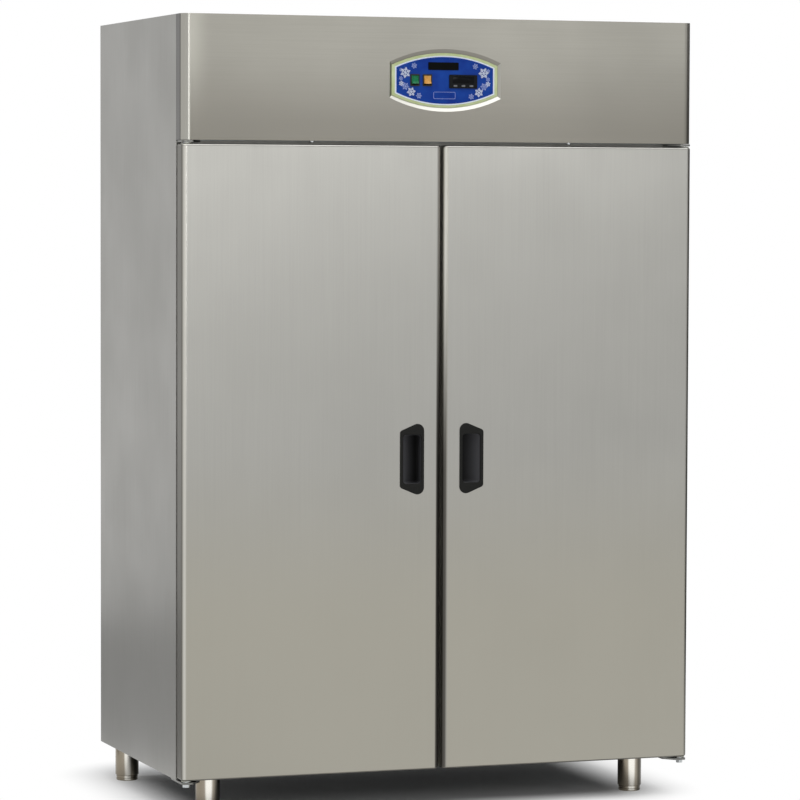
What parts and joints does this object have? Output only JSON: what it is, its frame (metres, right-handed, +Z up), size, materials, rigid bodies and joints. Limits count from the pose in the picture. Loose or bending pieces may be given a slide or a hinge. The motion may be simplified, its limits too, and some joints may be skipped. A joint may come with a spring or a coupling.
{
  "type": "two-door refrigerator",
  "caption": "Upright stainless catering refrigerator with side-by-side hinged doors, recessed handles, control dish in a tall header, wire shelves and screw legs.",
  "frame": {"origin": "on the floor, at the middle of the width and depth", "axes": "+X to the right seen from the front, the doors face -Y, +Z up"},
  "size_m": [1.4, 0.7926, 2.05],
  "materials": {
    "brushed_stainless": "satin",
    "galvanised_sheet": "satin",
    "liner_stainless": "satin",
    "polyurethane_foam": "matte",
    "zinc_screw": "satin",
    "hinge_steel": "satin",
    "lime_acrylic": "gloss",
    "blue_overlay": "gloss",
    "black_abs": "satin",
    "green_rocker": "gloss",
    "amber_rocker": "gloss",
    "key_grey": "satin",
    "seal_rubber": "matte",
    "nylon": "satin",
    "polished_leg": "polished",
    "black_enamel": "gloss",
    "aluminium_fin": "satin",
    "copper": "satin",
    "opal_acrylic": "satin",
    "coated_wire": "satin"
  },
  "bodies": {
    "cabinet": {"left_side_panel": "brushed_stainless", "right_side_panel": "brushed_stainless", "back_panel": "galvanised_sheet", "base_panel": "galvanised_sheet", "top_deck": "galvanised_sheet", "face_frame": "brushed_stainless", "inner_liner": "liner_stainless", "insulation": "polyurethane_foam", "centre_mullion": "brushed_stainless", "header_panel": "brushed_stainless", "screws": "zinc_screw", "control_bezel": "lime_acrylic", "control_plate": "blue_overlay", "switch_housings": "black_abs", "thermostat_body": "black_abs", "hinge_brackets": "hinge_steel", "hinge_pins": "zinc_screw", "leg_tubes": "polished_leg", "unit_base": "galvanised_sheet", "compressor": "black_enamel", "compressor_grommets": "seal_rubber", "condenser_coil": "aluminium_fin", "fan_shroud": "galvanised_sheet", "condenser_fan_motor": "black_enamel", "refrigerant_lines": "copper", "electrical_box": "black_abs", "cable_gland": "black_abs", "rear_grille": "galvanised_sheet", "evaporator_cover": "liner_stainless", "evaporator_coil": "aluminium_fin", "evaporator_fan_motors": "black_enamel", "interior_lamp": "opal_acrylic", "shelf_uprights": "liner_stainless", "shelf_runners": "liner_stainless", "wire_shelves": "coated_wire"},
    "left_door": {"left_door_skin": "brushed_stainless", "left_door_insulation": "polyurethane_foam", "left_door_liner": "liner_stainless", "left_door_gasket": "seal_rubber", "left_door_handle": "black_abs", "left_door_bushes": "nylon"},
    "right_door": {"right_door_skin": "brushed_stainless", "right_door_insulation": "polyurethane_foam", "right_door_liner": "liner_stainless", "right_door_gasket": "seal_rubber", "right_door_handle": "black_abs", "right_door_bushes": "nylon"},
    "main_switch": {"main_switch_rocker": "green_rocker"},
    "light_switch": {"light_switch_rocker": "amber_rocker"},
    "set_key": {"set_key": "key_grey"},
    "up_key": {"up_key": "key_grey"},
    "down_key": {"down_key": "key_grey"},
    "condenser_fan": {"condenser_fan": "aluminium_fin"},
    "evaporator_fan_left": {"evaporator_fan_left": "aluminium_fin"},
    "evaporator_fan_right": {"evaporator_fan_right": "aluminium_fin"},
    "front_left_foot": {"front_left_foot": "polished_leg"},
    "front_right_foot": {"front_right_foot": "polished_leg"},
    "rear_left_foot": {"rear_left_foot": "polished_leg"},
    "rear_right_foot": {"rear_right_foot": "polished_leg"}
  },
  "joints": [
    {"name": "left_door_hinge", "type": "hinge", "parent": "cabinet", "child": "left_door", "pos_m": [-0.684, -0.37775, 0.9], "axis": [0, 0, -1], "range_deg": [0, 110]},
    {"name": "right_door_hinge", "type": "hinge", "parent": "cabinet", "child": "right_door", "pos_m": [0.684, -0.37775, 0.9], "axis": [0, 0, 1], "range_deg": [0, 110]},
    {"name": "main_switch_rock", "type": "hinge", "parent": "cabinet", "child": "main_switch", "pos_m": [-0.076, -0.38595, 1.89], "axis": [1, 0, 0], "range_deg": [0, 20]},
    {"name": "light_switch_rock", "type": "hinge", "parent": "cabinet", "child": "light_switch", "pos_m": [-0.042, -0.38595, 1.89], "axis": [1, 0, 0], "range_deg": [0, 20]},
    {"name": "set_key_press", "type": "slide", "parent": "cabinet", "child": "set_key", "axis": [0, 1, 0], "range_m": [0, 0.0006], "stiffness_N_per_m": 800, "springref_m": -0.0005},
    {"name": "up_key_press", "type": "slide", "parent": "cabinet", "child": "up_key", "axis": [0, 1, 0], "range_m": [0, 0.0006], "stiffness_N_per_m": 800, "springref_m": -0.0005},
    {"name": "down_key_press", "type": "slide", "parent": "cabinet", "child": "down_key", "axis": [0, 1, 0], "range_m": [0, 0.0006], "stiffness_N_per_m": 800, "springref_m": -0.0005},
    {"name": "condenser_fan_spin", "type": "hinge", "parent": "cabinet", "child": "condenser_fan", "pos_m": [0.186, 0.11, 1.8535], "axis": [1, 0, 0], "continuous": true},
    {"name": "evaporator_fan_left_spin", "type": "hinge", "parent": "cabinet", "child": "evaporator_fan_left", "pos_m": [-0.215, 0.08, 1.561], "axis": [0, 1, 0], "continuous": true},
    {"name": "evaporator_fan_right_spin", "type": "hinge", "parent": "cabinet", "child": "evaporator_fan_right", "pos_m": [0.215, 0.08, 1.561], "axis": [0, 1, 0], "continuous": true},
    {"name": "front_left_foot_screw", "type": "slide", "parent": "cabinet", "child": "front_left_foot", "axis": [0, 0, -1], "range_m": [0, 0.04]},
    {"name": "front_right_foot_screw", "type": "slide", "parent": "cabinet", "child": "front_right_foot", "axis": [0, 0, -1], "range_m": [0, 0.04]},
    {"name": "rear_left_foot_screw", "type": "slide", "parent": "cabinet", "child": "rear_left_foot", "axis": [0, 0, -1], "range_m": [0, 0.04]},
    {"name": "rear_right_foot_screw", "type": "slide", "parent": "cabinet", "child": "rear_right_foot", "axis": [0, 0, -1], "range_m": [0, 0.04]}
  ]
}
